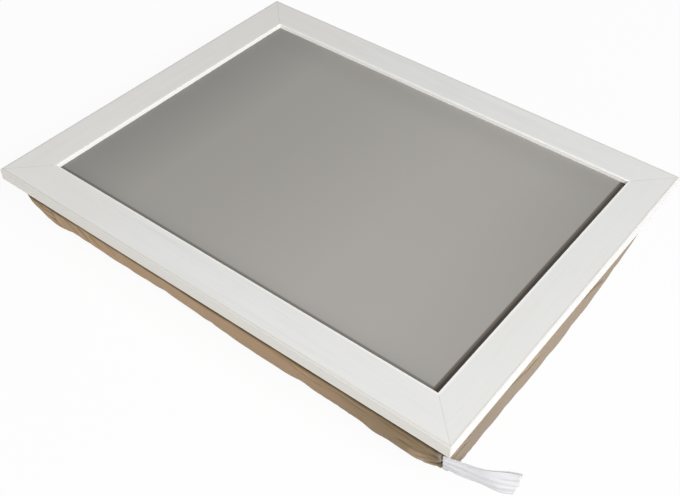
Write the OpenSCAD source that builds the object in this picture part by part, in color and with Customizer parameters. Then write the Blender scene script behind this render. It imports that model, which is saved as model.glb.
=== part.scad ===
// Lap tray on a beanbag cushion, in millimetres.
// The origin is on the floor under the middle of the tray, with X along the long side, Y away from the
// front and Z up. The tray lifts off the cushion, and a zip closes the cushion's back.

/* [Tray] */
// Length of the tray, over the rails
tray_l = 430; // [390:1:470]
// Width of the tray, over the rails
tray_w = 330; // [300:1:360]
// Width of a rail, seen from above
rail_w = 31; // [27:0.5:38]
// Thickness of a rail
rail_h = 10.5; // [9.5:0.1:14]
// Rounding of the rails' outer top edge
outer_arris_r = 1.2; // [0.6:0.1:2]
// Rounding of the rails' other long edges
small_arris_r = 0.6; // [0.2:0.1:1]
// Width of the rabbet that takes the panel
rabbet_w = 8; // [6:0.5:10]

/* [Panel] */
// Thickness of the glossy panel
panel_t = 2.5; // [2:0.1:3]
// Thickness of the board behind the panel
board_t = 2.5; // [2:0.1:3]
// Clearance between the panel's edge and the rabbet's wall
panel_gap = 0.5; // [0.2:0.1:1]

/* [Fixings] */
// V-nails at each corner of the frame
nails_per_corner = 2; // [1:1:3]
// Length of one leg of a V-nail
nail_leg = 5; // [4:0.5:6]
// Thickness of a V-nail's steel
nail_t = 0.6; // [0.5:0.1:0.8]
// Height of a V-nail
nail_h = 6; // [4:0.5:7]
// Steel points along a long rail
points_long = 3; // [2:1:5]
// Steel points along a short rail
points_short = 2; // [1:1:4]
// Length of a steel point
point_l = 11; // [8:0.5:12]
// Width of a steel point
point_w = 6; // [4:0.5:8]
// Thickness of a steel point
point_t = 0.5; // [0.4:0.1:0.7]
// Clearance round a nail or point in its cut
fixing_gap = 0.05; // [0.02:0.01:0.1]
// Length of a hook-and-loop pad
pad_l = 80; // [40:1:100]
// Width of a hook-and-loop pad
pad_w = 25; // [15:1:30]
// Thickness of the hook half
hook_t = 1.1; // [0.9:0.1:1.4]
// Thickness of the loop half
loop_t = 1; // [0.9:0.1:1.4]
// Distance from the rabbet's wall to a pad
pad_inset = 24; // [18:1:35]

/* [Cushion] */
// Height of the cushion
cushion_h = 52.2; // [46:0.2:60]
// Gap between the cushion and the rails above it
tray_gap = 0.3; // [0.3:0.1:1]
// How far the tray stands out past each end of the cushion
overhang_x = 7.5; // [4:0.5:15]
// How far the tray stands out past each long side of the cushion
overhang_y = 8; // [7:0.5:15]
// How far the cushion sits to the right of the tray's middle
shift_x = 2; // [-3:0.5:3]
// How far the cushion sits behind the tray's middle, or below 0 in front of it
shift_y = -6; // [-6:0.5:3]
// Corner radius at the left front
left_front_r = 21; // [10:1:28]
// Corner radius at the right front, where the corner is full
right_front_r = 6; // [5:1:20]
// Corner radius at the right back
right_back_r = 18; // [10:1:28]
// Corner radius at the left back
left_back_r = 18; // [10:1:28]
// Roundness of the side, from drawn in to upright
side_power = 1.85; // [1.5:0.05:2.6]
// Bulge of the right side at the middle
right_bulge = 7; // [0:0.5:8]
// Depth of the flat that the cushion rests on
floor_cut = 0.5; // [0.3:0.1:1]
// Thickness of the cover's cloth
cloth_t = 1; // [0.8:0.1:1.2]
// Clearance between the top cloth and the sides it is sewn to
seam_gap = 0.1; // [0.05:0.01:0.3]
// Height of the seam between the sides and the base
base_seam_z = 9.5; // [7:0.5:14]

/* [Draw of the base at each corner] */
// Left front corner, along X
left_front_dx = 20; // [5:1:50]
// Left front corner, along Y
left_front_dy = 43; // [5:1:60]
// Right front corner, along X
right_front_dx = 4; // [2:1:40]
// Right front corner, along Y
right_front_dy = 24; // [5:1:50]
// Right back corner, along X
right_back_dx = 42; // [5:1:60]
// Right back corner, along Y
right_back_dy = 36; // [5:1:60]
// Left back corner, along X
left_back_dx = 36; // [5:1:60]
// Left back corner, along Y
left_back_dy = 44; // [5:1:60]

/* [Filling] */
// Thickness of the liner's cloth
liner_t = 0.5; // [0.4:0.1:0.8]
// Room between the cover's sides and the liner
side_room = 4.2; // [4:0.1:6]
// Clearance between layers that lie on each other
layer_gap = 0.3; // [0.2:0.05:0.5]

/* [Zip] */
// Distance from the cushion's top down to the zip's middle
zip_depth = 9.2; // [8.8:0.1:10]
// Height of the opening in the cloth
zip_open_h = 10; // [9.6:0.1:10.8]
// Lap of the tape behind the cloth, above and below
tape_lap = 2.2; // [1.5:0.1:2.4]
// Thickness of the tape
tape_t = 0.8; // [0.5:0.1:1]
// Width of the closed chain of teeth
chain_w = 5.6; // [5:0.1:5.8]
// Thickness of the teeth
tooth_t = 1.6; // [1.2:0.1:1.8]
// Distance between two teeth of one row
tooth_pitch = 3.2; // [2.8:0.1:4]
// Clearance between a tooth and its neighbours
tooth_gap = 0.12; // [0.08:0.01:0.2]
// Length of the slider
slider_l = 11; // [9:0.5:14]
// Thickness of the slider's plate and walls
slider_t = 1; // [0.8:0.1:1.2]
// Running clearance between the slider and the zip
slider_gap = 0.4; // [0.3:0.05:0.5]
// Radius of the hole in the slider's crown
crown_hole_r = 0.8; // [0.7:0.05:1]
// Wall of the crown round its hole
crown_wall = 0.9; // [0.7:0.1:1.2]
// Width of the crown
crown_w = 1.2; // [1:0.1:1.5]
// Radius of the pull's bar, which turns in the crown
bar_r = 0.6; // [0.5:0.05:0.65]
// Length of the pull
pull_l = 24; // [18:1:30]
// Width of the pull
pull_w = 5.4; // [4.8:0.1:7]

/* [Label] */
// Length of the ribbon label
label_l = 49; // [40:1:65]
// Width of the label at its loose end
label_w = 22; // [15:1:25]
// Width of the label where the seam gathers it
label_root_w = 14; // [10:1:15]
// Thickness of the label
label_t = 0.5; // [0.4:0.1:0.8]
// Distance from the cushion's top down to the label's top edge at the seam
label_depth = 7.4; // [4:0.1:10]

/* [Hidden] */

whitewash = [0.90, 0.89, 0.86];
taupe_gloss = [0.61, 0.60, 0.57];
board_brown = [0.50, 0.38, 0.26];
taupe_cloth = [0.56, 0.48, 0.40];
liner_white = [0.92, 0.92, 0.90];
bead_white = [0.97, 0.97, 0.97];
steel = [0.72, 0.73, 0.75];
zip_brown = [0.42, 0.35, 0.28];
satin_white = [0.94, 0.94, 0.96];
hook_black = [0.15, 0.15, 0.16];

overlap = 1;
edge_fn = 32;

// Heights of the stack, from the floor up
rail_z = cushion_h + tray_gap;
board_z = cushion_h + loop_t + hook_t;
panel_z = board_z + board_t;
panel_top_z = panel_z + panel_t;
zip_z = cushion_h - zip_depth;
label_top_z = cushion_h - label_depth;

// The rabbet's wall, half across, and the panel inside it
wall_x = tray_l / 2 - rail_w + rabbet_w;
wall_y = tray_w / 2 - rail_w + rabbet_w;
panel_x = wall_x - panel_gap;
panel_y = wall_y - panel_gap;
pad_x = wall_x - pad_inset - pad_l / 2;
pad_y = wall_y - pad_inset - pad_w / 2;

// The cushion seen from above
half_l = tray_l / 2 - overhang_x;
half_w = tray_w / 2 - overhang_y;
corner_r = [left_front_r, right_front_r, right_back_r, left_back_r];
corner_dx = [left_front_dx, right_front_dx, right_back_dx, left_back_dx];
corner_dy = [left_front_dy, right_front_dy, right_back_dy, left_back_dy];

// Steps round a quarter of the cushion: half a corner, a straight side, half a corner
corner_steps = 3;
side_steps = 10;
side_n = 2 * corner_steps + side_steps;

// How far down the side a height lies, from 0 at the top to the floor's cut
function drop(z) = (cushion_h - z) / (cushion_h + floor_cut);
floor_v = drop(0);
seam_v = drop(base_seam_z);
zip_top_v = drop(zip_z + zip_open_h / 2);
zip_foot_v = drop(zip_z - zip_open_h / 2);
below_zip = 5;
base_rows = 4;
liner_rows = 5;
liner_upright = 0.25;
boxing_v = [0, zip_top_v, zip_foot_v, for (k = [1:below_zip]) mix(zip_foot_v, seam_v, k / below_zip)];
base_v = [for (k = [0:base_rows]) mix(seam_v, floor_v, k / base_rows)];
liner_v = [0, for (k = [1:liner_rows]) floor_v * mix(liner_upright, 1, k / liner_rows)];

// Share of a corner's draw that is reached at v
function draw_share(v) = 1 - pow(1 - pow(v, side_power), 1 / side_power);
function mix(a, b, t) = a + (b - a) * t;
function corner_mix(c, u, w) = mix(mix(c[0], c[1], (u + 1) / 2), mix(c[3], c[2], (u + 1) / 2), (w + 1) / 2);
function quarter_turn(p, k) = k == 0 ? p : k == 1 ? [-p[1], p[0]] : k == 2 ? [-p[0], -p[1]] : [p[1], -p[0]];

// A point of side k before it is drawn in, for a rounded rectangle of half sizes a and b; i runs from
// the middle of one corner to the middle of the next
function side_point(k, i, a, b, inset) =
    let (h = k % 2 == 0 ? [a, b] : [b, a],
        r0 = max(corner_r[k] - inset, 1),
        r1 = max(corner_r[(k + 1) % 4] - inset, 1),
        j = i - corner_steps - side_steps,
        p = i < corner_steps
            ? let (t = 225 + 45 * i / corner_steps) [r0 - h[0] + r0 * cos(t), r0 - h[1] + r0 * sin(t)]
            : j > 0
            ? let (t = 270 + 45 * j / corner_steps) [h[0] - r1 + r1 * cos(t), r1 - h[1] + r1 * sin(t)]
            : [mix(r0 - h[0], h[0] - r1, (i - corner_steps) / side_steps), -h[1]])
    quarter_turn(p, k);

// Height of level v on a surface that is lifted by lift at the floor and lies under the top by under
function cushion_z(v, lift, under) = cushion_h - under - (cushion_h - under - lift + floor_cut) * v;

// A point of the cushion's surface, set in by inset and lifted by lift at the floor; under is how far
// the surface's top lies under the cushion's top
function cushion_point(k, i, v, inset, lift, under = 0) =
    let (a = half_l - inset,
        b = half_w - inset,
        p = side_point(k, i, a, b, inset),
        u = p[0] / a,
        w = p[1] / b,
        g = draw_share(v),
        bulge = right_bulge * 4 * v * (1 - v) * (1 - w * w) * max(u, 0),
        dx = max(corner_mix(corner_dx, u, w) - inset, 0) * g,
        dy = max(corner_mix(corner_dy, u, w) - inset, 0) * g)
    [shift_x + u * (a - dx) + bulge, shift_y + w * (b - dy), cushion_z(v, lift, under)];

// A row of points along side k, with both its ends
function side_row(k, v, inset, lift) = [for (i = [0:side_n]) cushion_point(k, i, v, inset, lift)];

// A closed ring of points round the cushion
ring_n = 4 * side_n;
function ring(v, inset, lift, under = 0) =
    [for (n = [0:ring_n - 1]) cushion_point(floor(n / side_n), n % side_n, v, inset, lift, under)];
function flat_ring(v, inset) = [for (p = ring(v, inset, 0)) [p[0], p[1]]];

function halves(q) = [[q[0], q[1], q[2]], [q[0], q[2], q[3]]];
function in_window(i, j, win) =
    len(win) == 4 && i >= win[0] && i < win[1] && j >= win[2] && j < win[3];

// The cloth of side k over its levels, with an optional window of grid cells [first column, last
// column, first row, last row]
module cloth_wall(k, levels, win = []) {
    rows = len(levels);
    cols = side_n + 1;
    points = [
        for (v = levels) each side_row(k, v, 0, 0),
        for (v = levels) each side_row(k, v, cloth_t, cloth_t)];
    function out(j, i) = j * cols + i;
    function in(j, i) = (rows + j) * cols + i;
    quads = [
        for (j = [0:rows - 2]) for (i = [0:side_n - 1]) if (!in_window(i, j, win)) each [
            [out(j, i), out(j, i + 1), out(j + 1, i + 1), out(j + 1, i)],
            [in(j, i), in(j + 1, i), in(j + 1, i + 1), in(j, i + 1)]],
        for (i = [0:side_n - 1]) each [
            [out(0, i), in(0, i), in(0, i + 1), out(0, i + 1)],
            [out(rows - 1, i), out(rows - 1, i + 1), in(rows - 1, i + 1), in(rows - 1, i)]],
        for (j = [0:rows - 2]) each [
            [in(j, 0), out(j, 0), out(j + 1, 0), in(j + 1, 0)],
            [out(j + 1, side_n), out(j, side_n), in(j, side_n), in(j + 1, side_n)]],
        if (len(win) == 4) for (j = [win[2]:win[3] - 1]) each [
            [out(j, win[0]), in(j, win[0]), in(j + 1, win[0]), out(j + 1, win[0])],
            [in(j, win[1]), out(j, win[1]), out(j + 1, win[1]), in(j + 1, win[1])]],
        if (len(win) == 4) for (i = [win[0]:win[1] - 1]) each [
            [out(win[2], i), out(win[2], i + 1), in(win[2], i + 1), in(win[2], i)],
            [out(win[3], i), in(win[3], i), in(win[3], i + 1), out(win[3], i + 1)]]];
    polyhedron(points = points, faces = [for (q = quads) each halves(q)]);
}

// An open dish of cloth, t thick, from the cushion's form at its first level down to a flat floor
module cloth_dish(levels, t, inset, lift, under = 0) {
    rows = len(levels);
    points = [
        for (v = levels) each ring(v, inset, lift, under),
        for (v = levels) each ring(v, inset + t, lift + t, under),
        [shift_x, shift_y, cushion_z(levels[rows - 1], lift, under)],
        [shift_x, shift_y, cushion_z(levels[rows - 1], lift + t, under)]];
    outer_foot = 2 * rows * ring_n;
    inner_foot = outer_foot + 1;
    function out(j, i) = j * ring_n + i % ring_n;
    function in(j, i) = (rows + j) * ring_n + i % ring_n;
    quads = [
        for (j = [0:rows - 2]) for (i = [0:ring_n - 1]) each [
            [out(j, i), out(j, i + 1), out(j + 1, i + 1), out(j + 1, i)],
            [in(j, i), in(j + 1, i), in(j + 1, i + 1), in(j, i + 1)]],
        for (i = [0:ring_n - 1]) [out(0, i), in(0, i), in(0, i + 1), out(0, i + 1)]];
    polyhedron(points = points, faces = [
        for (q = quads) each halves(q),
        for (i = [0:ring_n - 1]) [outer_foot, out(rows - 1, i), out(rows - 1, i + 1)],
        for (i = [0:ring_n - 1]) [inner_foot, in(rows - 1, i + 1), in(rows - 1, i)]]);
}

// A closed body of the cushion's form between its first and last levels
module cushion_body(levels, inset, lift) {
    rows = len(levels);
    points = [
        for (v = levels) each ring(v, inset, lift, lift),
        [shift_x, shift_y, cushion_z(levels[0], lift, lift)],
        [shift_x, shift_y, cushion_z(levels[rows - 1], lift, lift)]];
    head = rows * ring_n;
    foot = head + 1;
    function at(j, i) = j * ring_n + i % ring_n;
    quads = [
        for (j = [0:rows - 2]) for (i = [0:ring_n - 1])
            [at(j, i), at(j, i + 1), at(j + 1, i + 1), at(j + 1, i)]];
    polyhedron(points = points, faces = [
        for (q = quads) each halves(q),
        for (i = [0:ring_n - 1]) [head, at(0, i + 1), at(0, i)],
        for (i = [0:ring_n - 1]) [foot, at(rows - 1, i), at(rows - 1, i + 1)]]);
}

// The corner of a square, left outside a circle of radius r
module arris_cut(r) {
    difference() {
        translate([-overlap, -overlap]) square(r + overlap);
        translate([r, r]) circle(r = r, $fn = edge_fn);
    }
}

// A rail's section: X runs inwards from the outer face and Y up from the underside
module rail_section() {
    difference() {
        square([rail_w, rail_h]);
        translate([rail_w - rabbet_w, -overlap]) square([rabbet_w + overlap, panel_top_z - rail_z + overlap]);
        arris_cut(small_arris_r);
        translate([0, rail_h]) mirror([0, 1]) arris_cut(outer_arris_r);
        translate([rail_w, rail_h]) mirror([1, 0]) mirror([0, 1]) arris_cut(small_arris_r);
    }
}

// A mitred rail along X, at the front of a frame l long and w wide
module mitred_rail(l, w) {
    translate([0, 0, rail_z]) intersection() {
        translate([-l / 2, -w / 2, 0]) rotate([90, 0, 90]) linear_extrude(height = l) rail_section();
        linear_extrude(height = rail_h) polygon([[-l / 2, -w / 2], [l / 2, -w / 2],
            [l / 2 - rail_w, rail_w - w / 2], [rail_w - l / 2, rail_w - w / 2]]);
    }
}

// V-nails at one corner, with their point towards the corner, grown by gap
module corner_nail_set(gap) {
    reach = (rail_w - rabbet_w) / (nails_per_corner + 1);
    splay = 5;
    for (n = [1:nails_per_corner])
        translate([n * reach, n * reach, 0]) for (turn = [-splay, 90 + splay])
            rotate([0, 0, turn]) {
                translate([-nail_t / 2 - gap, -nail_t / 2 - gap, 0])
                    cube([nail_leg + nail_t / 2 + gap, nail_t + 2 * gap, nail_h + gap]);
                translate([nail_leg, 0, 0]) cylinder(r = nail_t + gap, h = nail_h + gap, $fn = edge_fn);
            }
}

module all_corner_nails(gap) {
    for (sx = [0, 1]) for (sy = [0, 1])
        mirror([sx, 0, 0]) mirror([0, sy, 0])
            translate([-tray_l / 2, -tray_w / 2, rail_z - (gap > 0 ? overlap : 0)]) {
                corner_nail_set(gap);
                if (gap > 0) translate([0, 0, overlap]) corner_nail_set(gap);
            }
}

// One row of steel points along the front of a wall at y = -wall, over a length of l
module point_row(count, l, wall, gap) {
    for (n = [0:count - 1])
        translate([((n + 0.5) / count - 0.5) * l - point_w / 2 - gap,
            -wall - point_l / 2 - gap, board_z - point_t - gap])
            cube([point_w + 2 * gap, point_l + 2 * gap, point_t + 2 * gap]);
}

module all_points(gap) {
    for (turn = [0, 180]) {
        rotate([0, 0, turn]) point_row(points_long, 2 * wall_x, wall_y, gap);
        rotate([0, 0, turn + 90]) point_row(points_short, 2 * wall_y, wall_x, gap);
    }
}

module rail(l, w, turn) {
    color(whitewash) difference() {
        rotate([0, 0, turn]) mitred_rail(l, w);
        all_corner_nails(fixing_gap);
        all_points(fixing_gap);
    }
}

module rail_front() {
    rail(tray_l, tray_w, 0);
}

module rail_back() {
    rail(tray_l, tray_w, 180);
}

module rail_left() {
    rail(tray_w, tray_l, 270);
}

module rail_right() {
    rail(tray_w, tray_l, 90);
}

module tray_panel() {
    color(taupe_gloss) translate([-panel_x, -panel_y, panel_z]) cube([2 * panel_x, 2 * panel_y, panel_t]);
}

module backing_board() {
    color(board_brown) translate([-panel_x, -panel_y, board_z]) cube([2 * panel_x, 2 * panel_y, board_t]);
}

module corner_nails() {
    color(steel) all_corner_nails(0);
}

module panel_points() {
    color(steel) all_points(0);
}

// Four pads, one near each corner of the board
module pads(z, t) {
    for (sx = [-1, 1]) for (sy = [-1, 1])
        translate([sx * pad_x - pad_l / 2, sy * pad_y - pad_w / 2, z]) cube([pad_l, pad_w, t]);
}

module hook_pads() {
    color(hook_black) pads(cushion_h + loop_t, hook_t);
}

module loop_pads() {
    color(hook_black) pads(cushion_h, loop_t);
}

// The top cloth lies inside the sides' upper edge
module cover_top() {
    color(taupe_cloth) translate([0, 0, cushion_h - cloth_t]) linear_extrude(height = cloth_t)
        polygon(flat_ring(0, cloth_t + seam_gap));
}

module boxing(k, win = []) {
    color(taupe_cloth) cloth_wall(k, boxing_v, win);
}

module boxing_front() {
    boxing(0);
}

module boxing_right() {
    boxing(1);
}

// The back has a window for the zip, one step in from each corner
module boxing_back() {
    boxing(2, [corner_steps + 1, corner_steps + side_steps - 1, 1, 2]);
}

module boxing_left() {
    boxing(3);
}

module cover_base() {
    color(taupe_cloth) cloth_dish(base_v, cloth_t, 0, 0);
}

// The liner and its beads, from the cover inwards
liner_inset = cloth_t + side_room;
liner_lift = cloth_t + layer_gap;
bead_inset = liner_inset + liner_t + layer_gap;
bead_lift = liner_lift + liner_t + layer_gap;

module liner_top() {
    color(liner_white) translate([0, 0, cushion_h - liner_lift - liner_t]) linear_extrude(height = liner_t)
        polygon(flat_ring(drop(cushion_h - liner_lift), liner_inset));
}

module liner_bag() {
    color(liner_white) cloth_dish(liner_v, liner_t, liner_inset, liner_lift, liner_lift + liner_t);
}

module bead_fill() {
    color(bead_white) cushion_body(liner_v, bead_inset, bead_lift);
}

// The zip's places: the tape's outer face, the chain's ends and the slider at its closed end
back_y = shift_y + half_w;
tape_h = zip_open_h + 2 * tape_lap;
back_draw = max(right_back_dy, left_back_dy);
tape_y = back_y - cloth_t - layer_gap / 2 - back_draw * draw_share(drop(zip_z - tape_h / 2));
straight_l = 2 * half_l - right_back_r - left_back_r;
zip_mid_x = shift_x + (left_back_r - right_back_r) / 2;
zip_l = straight_l * (side_steps - 2) / side_steps;
tape_l = straight_l * (side_steps - 1) / side_steps;
stop_l = 2;
window_draw = max(right_back_dx, left_back_dx) * draw_share(zip_foot_v);
chain_l = zip_l - 2 * (stop_l + window_draw + 2 * slider_gap);
row_base = 1;
chain_y = tape_y + tooth_t;
slider_x = zip_mid_x + chain_l / 2 - slider_l / 2;

module zip_tape() {
    color(zip_brown) translate([zip_mid_x - tape_l / 2, tape_y - tape_t, zip_z - tape_h / 2])
        cube([tape_l, tape_t, tape_h]);
}

// One row of teeth, with its base strip at the outer edge, seen from behind the cushion
module tooth_row(first) {
    tooth_w = tooth_pitch / 2 - tooth_gap;
    count = floor((chain_l - first - tooth_w) / tooth_pitch);
    tip = chain_w - row_base - 2 * tooth_gap;
    foot = row_base;
    outline = [[0, 0], [0, foot],
        for (n = [0:count]) let (x = first + n * tooth_pitch) each [
            [x, foot], [x, tip], [x + tooth_w, tip], [x + tooth_w, foot]],
        [chain_l, foot], [chain_l, 0]];
    linear_extrude(height = tooth_t) polygon(outline);
}

module zip_teeth() {
    color(zip_brown) translate([zip_mid_x - chain_l / 2, tape_y, zip_z])
        rotate([90, 0, 0]) mirror([0, 0, 1]) {
            translate([0, -chain_w / 2, 0]) tooth_row(tooth_gap);
            translate([0, chain_w / 2, 0]) mirror([0, 1, 0]) tooth_row(tooth_gap + tooth_pitch / 2);
        }
}

module zip_stops() {
    for (side = [-1, 1])
        color(steel) translate([zip_mid_x + side * (chain_l / 2 + slider_gap + stop_l / 2), tape_y, zip_z])
            translate([-stop_l / 2, 0, -chain_w / 2]) cube([stop_l, tooth_t, chain_w]);
}

// The slider: a plate over the teeth, a wall on each side of them and a crown for the pull
plate_y = chain_y + slider_gap;
plate_top_y = plate_y + slider_t;
crown_r = crown_hole_r + crown_wall;
pin_y = plate_top_y + crown_r + slider_gap;
slider_w = chain_w + 2 * slider_gap + 2 * slider_t;

module slider_outline() {
    nose = slider_w / 2;
    translate([-slider_l / 2, -slider_w / 2]) square([slider_l - nose, slider_w]);
    translate([slider_l / 2 - nose, 0]) circle(r = nose, $fn = edge_fn);
}

module zip_slider() {
    color(steel) translate([slider_x, 0, zip_z]) {
        difference() {
            rotate([90, 0, 0]) mirror([0, 0, 1]) translate([0, 0, tape_y + slider_gap])
                linear_extrude(height = plate_top_y - tape_y - slider_gap) slider_outline();
            translate([-slider_l, tape_y - overlap, -slider_w / 2 + slider_t])
                cube([2 * slider_l, plate_y - tape_y + overlap, slider_w - 2 * slider_t]);
        }
        translate([0, 0, -crown_w / 2]) difference() {
            union() {
                translate([0, pin_y, 0]) cylinder(r = crown_r, h = crown_w, $fn = edge_fn);
                translate([-crown_r, plate_y, 0]) cube([2 * crown_r, pin_y - plate_y, crown_w]);
            }
            translate([0, pin_y, -overlap])
                cylinder(r = crown_hole_r, h = crown_w + 2 * overlap, $fn = edge_fn);
        }
    }
}

// The pull lies back along the zip, and its bar turns in the crown
module zip_pull() {
    yoke_l = crown_r + 2 * slider_gap;
    yoke_w = crown_w + 2 * slider_gap;
    eye_r = pull_w / 4;
    color(steel) translate([slider_x, pin_y, zip_z]) {
        translate([0, 0, -pull_w / 2]) cylinder(r = bar_r, h = pull_w, $fn = edge_fn);
        rotate([90, 0, 0]) translate([0, 0, -bar_r]) linear_extrude(height = 2 * bar_r) difference() {
            union() {
                translate([pull_w / 2 - pull_l, -pull_w / 2]) square([pull_l - pull_w / 2, pull_w]);
                translate([pull_w / 2 - pull_l, 0]) circle(r = pull_w / 2, $fn = edge_fn);
            }
            translate([-yoke_l, -yoke_w / 2]) square([yoke_l + overlap, yoke_w]);
            translate([pull_w / 2 - pull_l, 0]) circle(r = eye_r, $fn = edge_fn);
        }
    }
}

// The label stands out of the right front corner's seam, edge up, and flares towards its loose end
label_steps = 14;
label_mid_z = label_top_z - label_root_w / 2;
label_foot = cushion_point(0, side_n, drop(label_mid_z), 0, 0);
label_start = 7.5;
label_end = 26.5;
label_skew = 0.04;
label_wave = 1.2;
label_wave_turn = 540;
function label_point(t, up, side) =
    let (z = label_mid_z + up * mix(label_root_w, label_w, t) / 2,
        seam = cushion_point(0, side_n, drop(z), 0, 0),
        foot = label_foot + (seam - label_foot) * (1 - t) * (1 - t),
        along = t * (1 + label_skew * up),
        turn = mix(label_start, label_end, along),
        heading = (label_start + turn) / 2,
        off = label_wave * t * sin(label_wave_turn * t) * up + side * label_t / 2)
    [foot[0] + layer_gap + label_l * along * cos(heading) - off * sin(turn),
        foot[1] - label_t + label_l * along * sin(heading) + off * cos(turn), z];

module care_label() {
    n = 4;
    points = [for (side = [-1, 1]) for (s = [0:label_steps]) for (j = [0:n - 1])
        label_point(s / label_steps, 2 * j / (n - 1) - 1, side)];
    back = (label_steps + 1) * n;
    last = label_steps * n;
    quads = [
        for (s = [0:label_steps - 1]) for (j = [0:n - 2]) each [
            [s * n + j, s * n + j + 1, (s + 1) * n + j + 1, (s + 1) * n + j],
            [back + s * n + j, back + (s + 1) * n + j, back + (s + 1) * n + j + 1, back + s * n + j + 1]],
        for (s = [0:label_steps - 1]) each [
            [s * n, (s + 1) * n, back + (s + 1) * n, back + s * n],
            [s * n + n - 1, back + s * n + n - 1, back + (s + 1) * n + n - 1, (s + 1) * n + n - 1]],
        for (j = [0:n - 2]) each [
            [j, back + j, back + j + 1, j + 1],
            [last + j, last + j + 1, back + last + j + 1, back + last + j]]];
    color(satin_white) polyhedron(points = points, faces = [for (q = quads) each halves(q)]);
}

rail_front();
rail_back();
rail_left();
rail_right();
tray_panel();
backing_board();
corner_nails();
panel_points();
hook_pads();
loop_pads();
cover_top();
boxing_front();
boxing_right();
boxing_back();
boxing_left();
cover_base();
liner_top();
liner_bag();
bead_fill();
zip_tape();
zip_teeth();
zip_stops();
zip_slider();
zip_pull();
care_label();
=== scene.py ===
# A framed lap tray on a beanbag cushion: finishes, cloth, camera and light over the CAD frame.
import math
import bmesh
import bpy
import numpy as np
from mathutils import Matrix, Vector, kdtree, noise


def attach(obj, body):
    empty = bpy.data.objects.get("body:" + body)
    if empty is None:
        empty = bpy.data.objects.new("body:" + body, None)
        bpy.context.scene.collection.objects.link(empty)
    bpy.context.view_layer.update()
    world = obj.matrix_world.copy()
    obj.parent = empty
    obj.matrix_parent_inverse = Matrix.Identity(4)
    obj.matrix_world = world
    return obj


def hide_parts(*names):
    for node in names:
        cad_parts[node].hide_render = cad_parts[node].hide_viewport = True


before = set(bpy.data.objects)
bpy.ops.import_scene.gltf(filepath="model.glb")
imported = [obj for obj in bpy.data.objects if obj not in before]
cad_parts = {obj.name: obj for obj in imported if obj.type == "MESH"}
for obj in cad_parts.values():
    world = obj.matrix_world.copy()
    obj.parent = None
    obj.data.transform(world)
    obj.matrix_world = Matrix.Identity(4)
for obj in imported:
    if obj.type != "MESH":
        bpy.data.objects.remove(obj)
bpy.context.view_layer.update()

MM = 0.001
# Half sizes of the tray and of its well, and the rails' foot and top, in metres
TRAY_X, TRAY_Y = 0.215, 0.165
WELL_X, WELL_Y = 0.184, 0.134
RAIL_FOOT, RAIL_TOP = 0.0525, 0.0630


# Materials
def new_material(name):
    """A new material, its node tree, the tree's links and its Principled shader."""
    mat = bpy.data.materials.new(name)
    mat.use_nodes = True
    tree = mat.node_tree
    return mat, tree, tree.links, tree.nodes["Principled BSDF"]


def socket(shader, **values):
    """Sets the shader's inputs; an underscore stands for a space."""
    for key, value in values.items():
        shader.inputs[key.replace("_", " ")].default_value = value


def math_node(tree, op, a, b=None, clamp=False):
    n = tree.nodes.new("ShaderNodeMath")
    n.operation = op
    n.use_clamp = clamp
    for i, v in enumerate((a, b)):
        if v is None:
            continue
        if isinstance(v, (int, float)):
            n.inputs[i].default_value = v
        else:
            tree.links.new(v, n.inputs[i])
    return n.outputs[0]


def plus(tree, a, b):
    return math_node(tree, "ADD", a, b)


def minus(tree, a, b):
    return math_node(tree, "SUBTRACT", a, b)


def times(tree, a, b):
    return math_node(tree, "MULTIPLY", a, b)


def larger(tree, a, b):
    return math_node(tree, "MAXIMUM", a, b)


def noise_node(tree, vector, scale, detail=3.0, rough=0.5, stretch=None):
    if stretch is not None:
        m = tree.nodes.new("ShaderNodeMapping")
        m.inputs["Scale"].default_value = stretch
        tree.links.new(vector, m.inputs["Vector"])
        vector = m.outputs[0]
    n = tree.nodes.new("ShaderNodeTexNoise")
    n.inputs["Scale"].default_value = scale
    n.inputs["Detail"].default_value = detail
    n.inputs["Roughness"].default_value = rough
    tree.links.new(vector, n.inputs["Vector"])
    return n.outputs["Fac"]


def ramp(tree, fac, stops):
    """Colours along a ramp, from (position, colour) stops."""
    n = tree.nodes.new("ShaderNodeValToRGB")
    els = n.color_ramp.elements
    while len(els) < len(stops):
        els.new(0.5)
    for e, (pos, col) in zip(els, stops):
        e.position = pos
        e.color = (*col, 1.0)
    tree.links.new(fac, n.inputs["Fac"])
    return n.outputs["Color"]


def grey(tree, fac, lo, hi, a=0.0, b=1.0):
    """A smooth step from a at lo to b at hi."""
    n = tree.nodes.new("ShaderNodeMapRange")
    n.interpolation_type = "SMOOTHSTEP"
    n.inputs["From Min"].default_value = lo
    n.inputs["From Max"].default_value = hi
    n.inputs["To Min"].default_value = a
    n.inputs["To Max"].default_value = b
    tree.links.new(fac, n.inputs["Value"])
    return n.outputs[0]


def mix_colour(tree, fac, a, b):
    """From a to b by the share fac; each is a colour or a node's output."""
    n = tree.nodes.new("ShaderNodeMix")
    n.data_type = "RGBA"
    for name, v in (("Factor", fac), ("A", a), ("B", b)):
        kind = "VALUE" if name == "Factor" else "RGBA"
        s = next(i for i in n.inputs if i.name == name and i.type == kind)
        if isinstance(v, (int, float)):
            s.default_value = v
        elif isinstance(v, tuple):
            s.default_value = (*v, 1.0)
        else:
            tree.links.new(v, s)
    return next(o for o in n.outputs if o.type == "RGBA")


def paint(tree, base, *layers):
    """Lays each layer, a mask and its colour, over the base in turn."""
    for mask, colour in layers:
        base = mix_colour(tree, mask, base, colour)
    return base


def toned(colour, share):
    return tuple(min(c * share, 1.0) for c in colour)


def bump(tree, height, strength, distance, shader):
    n = tree.nodes.new("ShaderNodeBump")
    n.inputs["Strength"].default_value = strength
    n.inputs["Distance"].default_value = distance
    tree.links.new(height, n.inputs["Height"])
    tree.links.new(n.outputs[0], shader.inputs["Normal"])


def coords(tree, kind="Object"):
    return tree.nodes.new("ShaderNodeTexCoord").outputs[kind]


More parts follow.
